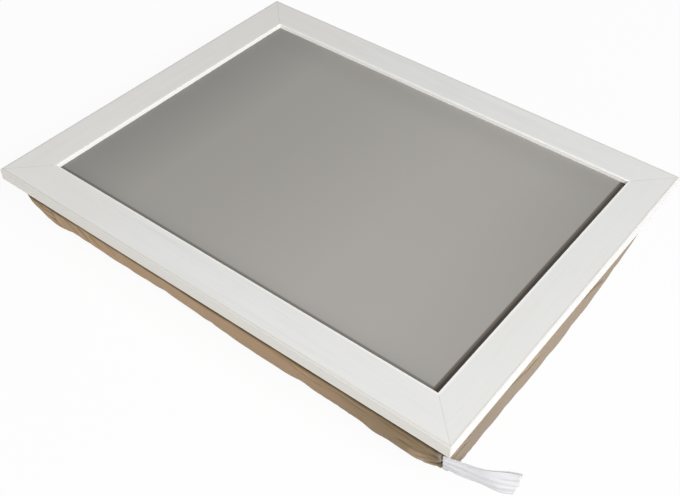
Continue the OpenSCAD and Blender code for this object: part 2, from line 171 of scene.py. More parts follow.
def xyz(tree, vector):
    n = tree.nodes.new("ShaderNodeSeparateXYZ")
    tree.links.new(vector, n.inputs[0])
    return n.outputs


def whitewash(name, along_x):
    """Whitewashed ash: open grain along the rail, a little of the wood showing through the paint."""
    mat, tree, links, shader = new_material(name)
    co = coords(tree)
    x, y, z = xyz(tree, co)
    ax, ay = math_node(tree, "ABSOLUTE", x), math_node(tree, "ABSOLUTE", y)
    coarse = (9.0, 170.0, 170.0) if along_x else (170.0, 9.0, 170.0)
    fine = (26.0, 900.0, 900.0) if along_x else (900.0, 26.0, 900.0)
    bands = noise_node(tree, co, 1.0, 3.0, 0.55, coarse)
    pores = noise_node(tree, co, 1.0, 2.0, 0.6, fine)
    cloud = noise_node(tree, co, 22.0, 2.0, 0.5)
    dark = grey(tree, pores, 0.30, 0.44, 1.0, 0.0)
    # The mitre: a hairline where TRAY_X - |x| equals TRAY_Y - |y|
    off = math_node(tree, "ABSOLUTE", minus(tree, minus(tree, ax, ay), TRAY_X - TRAY_Y))
    line = grey(tree, off, 0.00015, 0.00065, 1.0, 0.0)
    # Painted shade: the outer faces are deeper in tone than the top, and their upper arrises deeper still;
    # the foot is paler, and the well's edge has a painted highlight
    outer_x = grey(tree, ax, TRAY_X - 0.0026, TRAY_X - 0.0014)
    outer_y = grey(tree, ay, TRAY_Y - 0.0026, TRAY_Y - 0.0014)
    arris_shade_x = grey(tree, ax, TRAY_X - 0.0018, TRAY_X - 0.0010)
    arris_shade_y = grey(tree, ay, TRAY_Y - 0.0018, TRAY_Y - 0.0010)
    upper = grey(tree, z, RAIL_TOP - 0.0020, RAIL_TOP - 0.0012, 0.0, 0.5)
    foot = grey(tree, z, RAIL_FOOT + 0.0003, RAIL_FOOT + 0.0017, 0.55, 0.0)
    from_well = larger(tree, minus(tree, ax, WELL_X), minus(tree, ay, WELL_Y))
    base = ramp(tree, bands, [(0.28, (0.815, 0.811, 0.790)), (0.46, (0.850, 0.848, 0.832)),
                              (0.70, (0.872, 0.872, 0.862))])
    base = paint(
        tree, base,
        (times(tree, dark, 0.12), (0.64, 0.62, 0.58)),
        (grey(tree, cloud, 0.45, 0.75, 0.0, 0.30), (0.800, 0.796, 0.778)),
        # Painted shade towards the tray's right end and painted light towards its left end
        (grey(tree, x, 0.02, TRAY_X, 0.0, 0.65), (0.785, 0.780, 0.760)),
        (grey(tree, x, -TRAY_X, -0.02, 0.45, 0.0), (0.925, 0.895, 0.850)),
        (times(tree, line, 0.22), (0.42, 0.40, 0.36)),
        # Painted shade on the outer faces and, deeper, on their upper arrises
        (times(tree, outer_x, 0.85), (0.722, 0.718, 0.708)),
        (times(tree, outer_y, 0.85), (0.745, 0.722, 0.668)),
        (times(tree, larger(tree, arris_shade_x, arris_shade_y), upper), (0.645, 0.630, 0.590)),
        (times(tree, larger(tree, outer_x, outer_y), foot), (0.90, 0.86, 0.79)),
        # A painted highlight along the well's edge
        (grey(tree, from_well, 0.0006, 0.0028, 0.85, 0.0), (0.985, 0.975, 0.945)))
    links.new(base, shader.inputs["Base Color"])
    links.new(grey(tree, pores, 0.3, 0.6, 0.62, 0.46), shader.inputs["Roughness"])
    socket(shader, Specular_IOR_Level=0.35)
    height = plus(tree, times(tree, bands, 0.6), times(tree, dark, -0.8))
    bump(tree, minus(tree, height, times(tree, line, 2.5)), 0.35, 0.00012, shader)
    return mat


def panel_gloss():
    """Glossy taupe coating with hairline rubs, a little deeper in tone towards its edges, with a painted pool
    of light and painted shadows of the rails on it.
    """
    mat, tree, links, shader = new_material("taupe_gloss")
    co = coords(tree)
    x, y, _ = xyz(tree, co)
    back_y, front_y = minus(tree, WELL_Y, y), plus(tree, WELL_Y, y)
    along = math_node(tree, "DIVIDE", plus(tree, x, WELL_X), 2 * WELL_X)
    # Tones from the left end to the right, deeper towards both ends; the last stop is the painted shadow of
    # the right rail on the panel
    tones = [(0.0, 0.250), (0.045, 0.284), (0.19, 0.371), (0.345, 0.380), (0.50, 0.402), (0.655, 0.420),
             (0.81, 0.400), (0.955, 0.345), (0.982, 0.330), (1.0, 0.215)]
    # Deeper in tone towards the back, and painted shade along the front rail
    inward = times(tree, grey(tree, back_y, -0.005, 0.050), grey(tree, front_y, -0.004, 0.012, 0.55, 1.0))
    cloud = noise_node(tree, co, 9.0, 3.0, 0.5)
    # A painted pool of light towards the front right
    near = times(tree, grey(tree, x, -0.02, 0.14), grey(tree, y, -0.09, 0.10, 0.22, 0.0))
    # The last two layers are painted shadows of the front and right rails, dark strips on the panel beside
    # them
    base = paint(
        tree, ramp(tree, along, [(at, (v, v * 0.957, v * 0.885)) for at, v in tones]),
        (grey(tree, inward, 0.0, 1.0, 0.30, 0.0), (0.265, 0.252, 0.232)),
        (grey(tree, cloud, 0.3, 0.7, 0.0, 0.10), (0.375, 0.366, 0.350)),
        (near, (0.468, 0.448, 0.414)),
        (grey(tree, front_y, 0.0036, 0.0054, 0.72, 0.0), (0.10, 0.092, 0.078)),
        (grey(tree, x, 0.1774, 0.1787, 0.0, 0.84), (0.088, 0.066, 0.045)))
    links.new(base, shader.inputs["Base Color"])
    rub = noise_node(tree, co, 40.0, 4.0, 0.65)
    links.new(grey(tree, rub, 0.3, 0.7, 0.20, 0.27), shader.inputs["Roughness"])
    socket(shader, Specular_IOR_Level=0.35)
    bump(tree, noise_node(tree, co, 5.0, 1.0, 0.4), 0.10, 0.002, shader)
    return mat


def dye_and_painted_shade(tree, base):
    """Dye that drifts in long olive and reddish patches; the paler and deeper places besides are painted
    light and painted shade.
    """
    x, y, _ = xyz(tree, coords(tree))
    olive = noise_node(tree, coords(tree), 1.0, 2.0, 0.5, (17.0, 17.0, 60.0))
    red = noise_node(tree, coords(tree), 1.0, 2.0, 0.5, (23.0, 23.0, 75.0))
    layers = [(grey(tree, olive, 0.42, 0.66, 0.0, 0.42), (0.270, 0.205, 0.105)),
              (grey(tree, red, 0.45, 0.70, 0.0, 0.35), (0.385, 0.232, 0.140))]
    # On the front: painted light over its left part and middle, painted shade towards the near corner and at
    # its left end
    front = grey(tree, y, -0.152, -0.130, 1.0, 0.0)
    for *step, tone in ((-0.06, 0.20, 0.60, 0.0, (0.505, 0.345, 0.205)),
                        (0.09, 0.17, 0.0, 0.66, (0.225, 0.158, 0.086)),
                        (-0.200, -0.165, 0.62, 0.0, (0.215, 0.155, 0.070))):
        layers.append((times(tree, front, grey(tree, x, *step)), tone))
    # Painted light on the right side: a greyer tone for the glare of the strong light there
    layers.append((grey(tree, x, 0.200, 0.208, 0.0, 0.80), (0.290, 0.240, 0.188)))
    # Painted shade on the right side towards the near corner
    near = times(tree, grey(tree, x, 0.196, 0.206), grey(tree, y, -0.155, -0.060, 0.42, 0.0))
    layers.append((near, (0.190, 0.155, 0.120)))
    # Painted shade where the cloth lies in a hollow, and painted light where it stands on a ridge
    painted_shading = tree.nodes.new("ShaderNodeAttribute")
    painted_shading.attribute_name = "painted_shading"
    for *step, tone in ((-1.0, -0.1, 0.34, 0.0, (0.530, 0.385, 0.255)),
                        (0.05, 1.2, 0.0, 0.72, (0.140, 0.098, 0.046)),
                        (1.1, 2.4, 0.0, 0.85, (0.025, 0.018, 0.010))):
        layers.append((grey(tree, painted_shading.outputs["Fac"], *step), tone))
    return paint(tree, base, *layers)


def woven(name, warp, weft, thread, sheen=0.25, uv=True, dyed_and_shaded=False):
    """Plain weave on the mesh's own cloth coordinates, in metres; thread is one thread's pitch."""
    mat, tree, links, shader = new_material(name)
    co = coords(tree, "UV" if uv else "Object")
    x, y, z = xyz(tree, co)
    if not uv:
        y = plus(tree, y, z)
    sx, sy = [math_node(tree, "SINE", times(tree, v, math.pi / thread)) for v in (x, y)]
    cell = plus(tree, times(tree, times(tree, sx, sy), 0.5), 0.5)
    slub_x = noise_node(tree, co, 1.0, 2.0, 0.5, (90.0, 1400.0, 90.0))
    slub_y = noise_node(tree, co, 1.0, 2.0, 0.5, (1400.0, 90.0, 90.0))
    cloud = noise_node(tree, coords(tree), 30.0, 3.0, 0.55)
    base = paint(
        tree, mix_colour(tree, grey(tree, cell, 0.2, 0.8), warp, weft),
        (grey(tree, slub_x, 0.35, 0.75, 0.0, 0.25), toned(warp, 0.72)),
        (grey(tree, slub_y, 0.35, 0.75, 0.0, 0.25), toned(weft, 1.25)),
        (grey(tree, cloud, 0.3, 0.75, 0.0, 0.22), toned(weft, 0.86)))
    if dyed_and_shaded:
        base = dye_and_painted_shade(tree, base)
    links.new(base, shader.inputs["Base Color"])
    socket(shader, Roughness=0.85, Specular_IOR_Level=0.1, Sheen_Weight=sheen, Sheen_Roughness=0.5)
    fuzz = noise_node(tree, co, 2600.0, 2.0, 0.6)
    bump(tree, plus(tree, cell, times(tree, fuzz, 0.5)), 0.5, 0.00012, shader)
    return mat


def satin():
    """Thin white satin ribbon: fine ribs across it, and a soft shine."""
    mat, tree, links, shader = new_material("satin_ribbon_white")
    co = coords(tree, "UV")
    ribs = noise_node(tree, co, 1.0, 2.0, 0.5, (300.0, 5200.0, 1.0))
    cloud = noise_node(tree, co, 60.0, 2.0, 0.5)
    base = mix_colour(tree, grey(tree, ribs, 0.3, 0.7), (0.620, 0.620, 0.640), (0.678, 0.678, 0.692))
    base = mix_colour(tree, grey(tree, cloud, 0.4, 0.7, 0.0, 0.3), base, (0.605, 0.605, 0.625))
    links.new(base, shader.inputs["Base Color"])
    socket(shader, Roughness=0.45, Specular_IOR_Level=0.3)
    bump(tree, ribs, 0.25, 0.00005, shader)
    return mat


def hardboard():
    """Raw brown hardboard, felted and a little stained."""
    mat, tree, links, shader = new_material("hardboard_brown")
    co = coords(tree)
    fibre = noise_node(tree, co, 420.0, 5.0, 0.7)
    cloud = noise_node(tree, co, 35.0, 3.0, 0.5)
    base = ramp(tree, fibre, [(0.32, (0.16, 0.095, 0.05)), (0.52, (0.27, 0.17, 0.095)),
                              (0.72, (0.38, 0.26, 0.16))])
    base = mix_colour(tree, grey(tree, cloud, 0.35, 0.7, 0.0, 0.4), base, (0.22, 0.14, 0.08))
    links.new(base, shader.inputs["Base Color"])
    links.new(grey(tree, fibre, 0.3, 0.7, 0.7, 0.5), shader.inputs["Roughness"])
    bump(tree, fibre, 0.4, 0.0001, shader)
    return mat


def metal(name, colour, rough):
    """Plain or plated metal with fine scratches and dull stains."""
    mat, tree, links, shader = new_material(name)
    co = coords(tree)
    scratch = noise_node(tree, co, 1.0, 3.0, 0.6, (400.0, 400.0, 2400.0))
    stain = noise_node(tree, co, 260.0, 3.0, 0.55)
    base = mix_colour(tree, grey(tree, stain, 0.35, 0.7, 0.0, 0.45), colour, toned(colour, 0.62))
    links.new(base, shader.inputs["Base Color"])
    links.new(grey(tree, scratch, 0.3, 0.7, rough, rough + 0.18), shader.inputs["Roughness"])
    socket(shader, Metallic=1.0)
    bump(tree, scratch, 0.2, 0.00003, shader)
    return mat


def moulded(name, colour):
    """Moulded plastic with a fine grain."""
    mat, tree, links, shader = new_material(name)
    co = coords(tree)
    grain = noise_node(tree, co, 900.0, 3.0, 0.6)
    base = mix_colour(tree, grey(tree, grain, 0.35, 0.7), colour, toned(colour, 1.25))
    links.new(base, shader.inputs["Base Color"])
    links.new(grey(tree, grain, 0.3, 0.7, 0.38, 0.55), shader.inputs["Roughness"])
    bump(tree, grain, 0.15, 0.00004, shader)
    return mat


def nap(name, colour):
    """Hook or loop tape: short dense loops, nearly black."""
    mat, tree, links, shader = new_material(name)
    co = coords(tree)
    loops = tree.nodes.new("ShaderNodeTexVoronoi")
    loops.inputs["Scale"].default_value = 1100.0
    links.new(co, loops.inputs["Vector"])
    d = loops.outputs["Distance"]
    base = mix_colour(tree, grey(tree, d, 0.1, 0.6), toned(colour, 2.6), colour)
    links.new(base, shader.inputs["Base Color"])
    socket(shader, Roughness=0.9, Sheen_Weight=0.35, Sheen_Roughness=0.4)
    bump(tree, d, 0.8, 0.0004, shader)
    return mat


def bead_white():
    """White polystyrene beads, with painted shade between them."""
    mat, tree, links, shader = new_material("polystyrene_beads")
    cells = tree.nodes.new("ShaderNodeTexVoronoi")
    cells.inputs["Scale"].default_value = 320.0
    links.new(coords(tree), cells.inputs["Vector"])
    d = cells.outputs["Distance"]
    base = mix_colour(tree, grey(tree, d, 0.2, 0.7), (0.90, 0.90, 0.90), (0.62, 0.62, 0.62))
    links.new(base, shader.inputs["Base Color"])
    socket(shader, Roughness=0.7)
    bump(tree, d, 1.0, 0.001, shader)
    return mat


WOOD_X = whitewash("whitewashed_ash_x", True)
WOOD_Y = whitewash("whitewashed_ash_y", False)
PANEL = panel_gloss()
BOARD = hardboard()
STEEL = metal("fixing_steel_plain", (0.56, 0.56, 0.57), 0.32)
ZIP_METAL = metal("zip_metal_plated", (0.36, 0.32, 0.26), 0.28)
ZIP_TEETH = moulded("zip_teeth_moulded", (0.12, 0.085, 0.058))
ZIP_CLOTH = woven("zip_tape_woven", (0.15, 0.105, 0.07), (0.20, 0.145, 0.10), 0.0009, uv=False)
HOOK = nap("hook_and_loop_black", (0.012, 0.012, 0.013))
CLOTH = woven("taupe_cotton", (0.335, 0.224, 0.127), (0.395, 0.268, 0.157), 0.00055, sheen=0.12, dyed_and_shaded=True)
LINER = woven("liner_calico", (0.78, 0.77, 0.74), (0.86, 0.86, 0.84), 0.0006)
THREAD = woven("sewing_thread", (0.30, 0.22, 0.15), (0.36, 0.27, 0.19), 0.0003, uv=False)
RIBBON = satin()
BEADS = bead_white()

FINISH = {
    "rail_front": WOOD_X, "rail_back": WOOD_X, "rail_left": WOOD_Y, "rail_right": WOOD_Y,
    "tray_panel": PANEL, "backing_board": BOARD, "corner_nails": STEEL, "panel_points": STEEL,
    "hook_pads": HOOK, "loop_pads": HOOK, "zip_tape": ZIP_CLOTH, "zip_teeth": ZIP_TEETH,
    "zip_stops": ZIP_METAL, "zip_slider": ZIP_METAL, "zip_pull": ZIP_METAL,
}
for name, mat in FINISH.items():
    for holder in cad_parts[name].material_slots:
        holder.material = mat


# The cushion's form, in millimetres. Sides 0 to 3 are the front, right, back and left, and corner k is where
# side k starts, from the front left. A side runs over t from 0 to SPAN: half a corner's arc, its straight
# part and half the next arc.
HALF_L, HALF_W = 207.5, 157.0
SHIFT_X, SHIFT_Y = 2.0, -6.0
CENTRE = np.array([SHIFT_X, SHIFT_Y])
CUSHION_H, FLOOR_CUT = 52.2, 0.5
SIDE_POWER, RIGHT_BULGE = 1.85, 7.0
CORNER_R = (21.0, 6.0, 18.0, 18.0)
CORNER_DX = (20.0, 4.0, 42.0, 36.0)
CORNER_DY = (43.0, 24.0, 36.0, 44.0)
ARC, STRAIGHT = 3.0, 10.0
SPAN = 2 * ARC + STRAIGHT
BACK = 2
BACK_PER_T = (2 * HALF_L - CORNER_R[2] - CORNER_R[3]) / STRAIGHT
BASE_SEAM_Z = 9.5
WINDOW_T = (4.0, 12.0)
WINDOW_Z = (38.0, 48.0)


def drop(z):
    """The level of height z: 0 at the cushion's top, 1 just below the floor."""
    return (CUSHION_H - z) / (CUSHION_H + FLOOR_CUT)


def rim(k, t, a, b, inset):
    """Point of side k at t, before it is drawn in, for a rounded rectangle of half sizes a and b."""
    hx, hy = (a, b) if k % 2 == 0 else (b, a)
    r0 = max(CORNER_R[k] - inset, 1.0)
    r1 = max(CORNER_R[(k + 1) % 4] - inset, 1.0)
    if t < ARC:
        ang = math.radians(225 + 45 * t / ARC)
        p = (r0 - hx + r0 * math.cos(ang), r0 - hy + r0 * math.sin(ang))
    elif t > ARC + STRAIGHT:
        ang = math.radians(270 + 45 * (t - ARC - STRAIGHT) / ARC)
        p = (hx - r1 + r1 * math.cos(ang), r1 - hy + r1 * math.sin(ang))
    else:
        f = (t - ARC) / STRAIGHT
        p = ((r0 - hx) * (1 - f) + (hx - r1) * f, -hy)
    return ((p[0], p[1]), (-p[1], p[0]), (-p[0], -p[1]), (p[1], -p[0]))[k]


def corner_mix(c, u, w):
    """The four corners' values, shared out over u and w from -1 to 1."""
    front = c[0] + (c[1] - c[0]) * (u + 1) / 2
    back = c[3] + (c[2] - c[3]) * (u + 1) / 2
    return front + (back - front) * (w + 1) / 2


def form(rims, v, inset=0.0, lift=0.0, under=0.0):
    """Points of the cushion's surface at level v, one for each rim point, as an array."""
    a, b = HALF_L - inset, HALF_W - inset
    u, w = rims[:, 0] / a, rims[:, 1] / b
    g = 1 - (1 - v ** SIDE_POWER) ** (1 / SIDE_POWER)
    bulge = RIGHT_BULGE * 4 * v * (1 - v) * (1 - w * w) * np.maximum(u, 0)
    dx = np.maximum(corner_mix(CORNER_DX, u, w) - inset, 0) * g
    dy = np.maximum(corner_mix(CORNER_DY, u, w) - inset, 0) * g
    z = CUSHION_H - under - (CUSHION_H - under - lift + FLOOR_CUT) * v
    return np.stack([SHIFT_X + u * (a - dx) + bulge, SHIFT_Y + w * (b - dy), np.full(len(u), z)], axis=1)


def side_columns(k, step, close, inset=0.0, marks=()):
    """Values of t along side k, with the distances along it; closer together by the corner seams."""
    a, b = HALF_L - inset, HALF_W - inset
    ts = np.linspace(0, SPAN, 1601)
    pts = np.array([rim(k, t, a, b, inset) for t in ts])
    dist = np.concatenate([[0], np.cumsum(np.hypot(*np.diff(pts, axis=0).T))])
    total = dist[-1]
    near = [d for d in close if d < total / 2]
    last = near[-1] if near else 0.0
    count = max(int(round((total - 2 * last) / step)), 2)
    middle = np.linspace(last, total - last, count + 1)[1:-1]
    s = np.array([0.0, *near, *middle, *[total - d for d in reversed(near)]])
    t = np.interp(s, dist, ts)
    for m in marks:
        t[np.argmin(np.abs(t - m))] = m
    s = np.interp(t, ts, dist)
    return t, s, total


def ring_columns(step, close=(), inset=0.0, marks=None):
    """Rim points round the whole cushion with each one's side, t, distance along it and its length."""
    a, b = HALF_L - inset, HALF_W - inset
    rims, info = [], []
    for k in range(4):
        t, s, total = side_columns(k, step, close, inset, (marks or {}).get(k, ()))
        for ti, si in zip(t, s):
            rims.append(rim(k, ti, a, b, inset))
            info.append((k, ti, si, total))
    return np.array(rims), np.array(info)


def scaled_ring(ring, share):
    """A copy of a ring, drawn in about the cushion's centre."""
    out = ring.copy()
    out[:, :2] = CENTRE + (ring[:, :2] - CENTRE) * share
    return out


def smooth01(x, lo, hi):
    """A smooth step from 0 at lo to 1 at hi."""
    t = np.clip((x - lo) / (hi - lo), 0, 1)
    return t * t * (3 - 2 * t)


def fbm(p):
    """Three octaves of noise."""
    return sum(noise.noise(Vector(p) * 2.0 ** i) / 2.0 ** i for i in range(3))


def link_object(name, data, mat=None, body=None):
    o = bpy.data.objects.new(name, data)
    bpy.context.collection.objects.link(o)
    if mat is not None:
        data.materials.append(mat)
    if body is not None:
        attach(o, body)
    return o


def ring_mesh(name, rings, skip=None):
    """A closed mesh from rings of equal length, in millimetres, with a middle point at each end."""
    n = len(rings[0])
    faces = []
    for j in range(len(rings) - 1):
        for i in range(n):
            if skip is None or not skip(j, i):
                i2 = (i + 1) % n
                faces.append((j * n + i, (j + 1) * n + i, (j + 1) * n + i2, j * n + i2))
    start, last = len(rings) * n, (len(rings) - 1) * n
    faces += [(start, i, (i + 1) % n) for i in range(n)]
    faces += [(start + 1, last + (i + 1) % n, last + i) for i in range(n)]
    verts = np.concatenate([*rings, [rings[0].mean(axis=0), rings[-1].mean(axis=0)]])
    mesh = bpy.data.meshes.new(name)
    mesh.from_pydata([tuple(v) for v in verts * MM], [], faces)
    mesh.polygons.foreach_set("use_smooth", [True] * len(mesh.polygons))
    return mesh


def vertex_rows(mesh, key):
    """The vertices' values of one kind, as rows of three."""
    out = np.empty(len(mesh.vertices) * 3)
    mesh.vertices.foreach_get(key, out)
    return out.reshape(-1, 3)


# Cloth simulation
FRAMES = 20


def crumple_field():
    """Swells a pinned cloth copy of the form and returns a lookup of the creases it takes, in mm."""
    rims, _ = ring_columns(7.0)
    levels = np.linspace(0, drop(0.0), 9)
    caps = (0.25, 0.5, 0.75, 0.9)
    top, foot = form(rims, 0.0, inset=1.5), form(rims, levels[-1])
    rings = [scaled_ring(top, f) for f in caps]
    rings += [form(rims, v) for v in levels]
    rings += [scaled_ring(foot, f) for f in reversed(caps)]
    o = link_object("crumple_source", ring_mesh("crumple_source", rings))
    remesh = o.modifiers.new("remesh", "REMESH")
    remesh.mode = "VOXEL"
    remesh.voxel_size = 0.0055
    dg = bpy.context.evaluated_depsgraph_get()
    solid = bpy.data.meshes.new_from_object(o.evaluated_get(dg))
    bpy.data.objects.remove(o)
    o = link_object("crumple_cloth", solid)
    start = vertex_rows(solid, "co")
    # Cloth at the top and on the floor is held
    held = np.nonzero((start[:, 2] > 0.0502) | (start[:, 2] < 0.0020))[0]
    o.vertex_groups.new(name="held").add([int(i) for i in held], 1.0, "REPLACE")
    cloth = o.modifiers.new("cloth", "CLOTH")
    s = cloth.settings
    s.vertex_group_mass = "held"
    s.use_pressure = True
    s.uniform_pressure_force = 4.0
    s.shrink_min = -0.045
    s.tension_stiffness = 12.0
    s.compression_stiffness = 12.0
    s.shear_stiffness = 4.0
    s.bending_stiffness = 0.15
    s.quality = 6
    s.effector_weights.gravity = 0.0
    cloth.collision_settings.use_collision = False
    cloth.point_cache.frame_start, cloth.point_cache.frame_end = 1, FRAMES
    scene = bpy.context.scene
    for f in range(1, FRAMES + 1):
        scene.frame_set(f)
    dg = bpy.context.evaluated_depsgraph_get()
    done = o.evaluated_get(dg).to_mesh()
    out = np.sum((vertex_rows(done, "co") - start) * vertex_rows(solid, "normal"), axis=1) / MM
    scene.frame_set(1)
    bpy.data.objects.remove(o)
    tree = kdtree.KDTree(len(start))
    for i, p in enumerate(start):
        tree.insert(p, i)
    tree.balance()
    # What a wider neighbourhood moves is the swelling, which the form already has; the rest is creases
    wide = np.array([np.mean([out[i] for _, i, _ in tree.find_n(p, 60)]) for p in start])
    crease = np.clip(out - wide, -3.0, 3.0)

    def field(p):
        hits = tree.find_n(p, 5)
        w = [1.0 / (d + 0.0012) ** 2 for _, _, d in hits]
        return sum(wi * crease[i] for wi, (_, i, _) in zip(w, hits)) / sum(w)

    return field


def grid_normals(P):
    """Outward normals of a closed grid of rings."""
    du = np.roll(P, -1, axis=1) - np.roll(P, 1, axis=1)
    dv = np.empty_like(P)
    dv[1:-1] = P[2:] - P[:-2]
    dv[0] = P[1] - P[0]
    dv[-1] = P[-1] - P[-2]
    n = np.cross(dv, du)
    n /= np.maximum(np.linalg.norm(n, axis=2, keepdims=True), 1e-9)
    return n


# Folds in the cloth: side, points of (distance along it, height), half width, rise (or sink), and the share
# of that by which the cloth sinks below the fold's lower edge
FOLDS = [
    (0, ((45, 50), (43, 38), (41, 28), (36, 16)), 3.0, 0.8, 0.5),
    (0, ((12, 40), (24, 35.5), (40, 33)), 1.5, -1.0, 0.0),
    (0, ((12, 31), (24, 27), (34, 25)), 1.5, -1.0, 0.0),
    (0, ((20, 45), (30, 42), (39, 41)), 1.3, -0.8, 0.0),
    (0, ((22, 38), (32, 31), (38, 22)), 1.3, 0.7, 0.6),
    (0, ((52, 47), (58, 40), (63, 31)), 1.5, -0.9, 0.0),
    (0, ((66, 46), (71, 40), (76, 30)), 1.5, -0.8, 0.0),
    (0, ((79, 46), (84, 41), (90, 33)), 1.5, -0.7, 0.0),
    (0, ((96, 47), (103, 43), (108, 35)), 1.5, -0.5, 0.0),
    (0, ((118, 46), (124, 40), (127, 33)), 1.5, -0.3, 0.0),
    (0, ((262, 47), (284, 46), (294, 42.5), (306, 41.5), (318, 41)), 1.1, 0.8, 1.0),
    (0, ((297, 45.5), (318, 44.5), (340, 44), (358, 43.5)), 1.3, 0.5, 1.0),
    (0, ((350, 43.5), (378, 42.5), (404, 42)), 1.3, -0.6, 0.0),
    (0, ((368, 34), (390, 35), (406, 39.5)), 1.2, -0.8, 0.0),
    (0, ((380, 38), (396, 39), (406, 40.8)), 1.1, -0.6, 0.0),
    (0, ((384, 27), (396, 31), (406, 37.5)), 1.1, -0.6, 0.0),
    (0, ((395, 24.5), (402, 32), (409, 39.5)), 1.3, 0.9, 0.0),
    (0, ((395, 20), (401, 26), (409, 33.5)), 2.4, -3.6, 0.0),
    (1, ((0.5, 36), (12, 37), (30, 40)), 1.5, -0.8, 0.0),
    (1, ((0.5, 30), (14, 31), (28, 33)), 1.5, -0.8, 0.0),
    (1, ((70, 47), (95, 43), (118, 42)), 1.5, 0.6, 0.9),
    (1, ((170, 46), (196, 42), (214, 36)), 1.8, -0.7, 0.0),
    (1, ((262, 44), (280, 40), (300, 34)), 1.7, -0.8, 0.0),
    (2, ((8, 40), (22, 35), (46, 33)), 1.7, -0.9, 0.0),
    (2, ((10, 29), (26, 27), (48, 21)), 1.8, -0.9, 0.0),
    (2, ((352, 30), (376, 33), (398, 36)), 1.7, -0.9, 0.0),
    (2, ((362, 22), (380, 25), (400, 28)), 1.8, -0.8, 0.0),
    (3, ((8, 41), (24, 38), (52, 37)), 1.7, -0.9, 0.0),
    (3, ((10, 29), (30, 27), (50, 22)), 1.8, -0.8, 0.0),
    (3, ((118, 47), (146, 41), (180, 43)), 1.6, 0.7, 0.9),
    (3, ((262, 27), (282, 31), (302, 35)), 1.7, -0.9, 0.0),
]
# Where the stuffing stands out or falls back: side, distance along it, height, both spreads and the amount
SWELLS = [
    (0, 30, 20, 13, 13, 2.0),
    (0, 375, 26, 11, 11, 1.5),
    (0, 150, 25, 34, 16, -0.7),
    (0, 409, 10, 9.5, 12, -6.5),
    (1, 0, 10, 8, 12, -6.5),
    (0, 351, 23, 13, 12, 2.0),
    (0, 250, 24, 60, 14, 1.1),
    (0, 389, 27, 9, 11, 3.0),
    (0, 15, 30, 6, 8, -1.5),
    (0, 38, 22, 7, 9, -1.8),
    (1, 38, 28, 24, 14, 1.2),
    (0, 408, 25, 12, 8, 0.7),
]
# The heights of the cover's rows of points, closer together where it bends
COVER_ROWS = [
    52.2, 51.9, 51.5, 51.0, 50.3, 49.5, 48.7, 48.0, 47.3, 46.0, 44.5, 43.0, 41.5, 40.0, 38.7, 38.0, 37.3,
    *np.arange(36.5, 12.2, -0.9), 11.6, 10.7, 10.2, 9.85, 9.5, 9.15, 8.8, 8.3,
    7.4, 6.3, 5.2, 4.2, 3.3, 2.5, 1.8, 1.2, 0.7, 0.3, 0.0,
]


def fold_relief(side, s, z):
    """How far the folds and swells move points of the cover, from side, distance along it and height."""
    out = np.zeros(s.shape)
    for k, points, half, rise, tuck in FOLDS:
        pts = np.array(points, float)
        lengths = np.hypot(*np.diff(pts, axis=0).T)
        done, best = 0.0, np.full(s.shape, 1e9)
        signed, share = np.zeros(s.shape), np.zeros(s.shape)
        for (x0, z0), (x1, z1), length in zip(pts[:-1], pts[1:], lengths):
            ux, uz = (x1 - x0) / length, (z1 - z0) / length
            a = np.clip((s - x0) * ux + (z - z0) * uz, 0, length)
            ex, ez = s - x0 - a * ux, z - z0 - a * uz
            d = np.hypot(ex, ez)
            closer = d < best
            best = np.where(closer, d, best)
            signed = np.where(closer, np.where(ez * ux - ex * uz >= 0, d, -d), signed)
            share = np.where(closer, (done + a) / lengths.sum(), share)
            done += length
        # A fold on the front that reaches the near corner's seam doesn't fade there
        if k == 0 and pts[-1, 0] >= 404:
            ends = smooth01(share, 0.0, 0.3)
        else:
            ends = smooth01(share, 0.0, 0.22) * smooth01(1 - share, 0.0, 0.22)
        fold = np.exp(-(signed / half) ** 2) - tuck * np.exp(-((signed + 1.7 * half) / (0.8 * half)) ** 2)
        out += np.where(side == k, rise * fold * ends, 0.0)
    for k, at, height, wide, tall, amount in SWELLS:
        out += np.where(side == k, amount * np.exp(-((s - at) / wide) ** 2 - ((z - height) / tall) ** 2), 0.0)
    return out


def spread_out(D, rows, cols):
    """Mean of a closed grid of values over a window of rows and columns on each side."""
    padded = np.pad(D, ((rows, rows), (0, 0)), mode="edge")
    mean = sum(padded[r:r + len(D)] for r in range(2 * rows + 1)) / (2 * rows + 1)
    return sum(np.roll(mean, c, axis=1) for c in range(-cols, cols + 1)) / (2 * cols + 1)


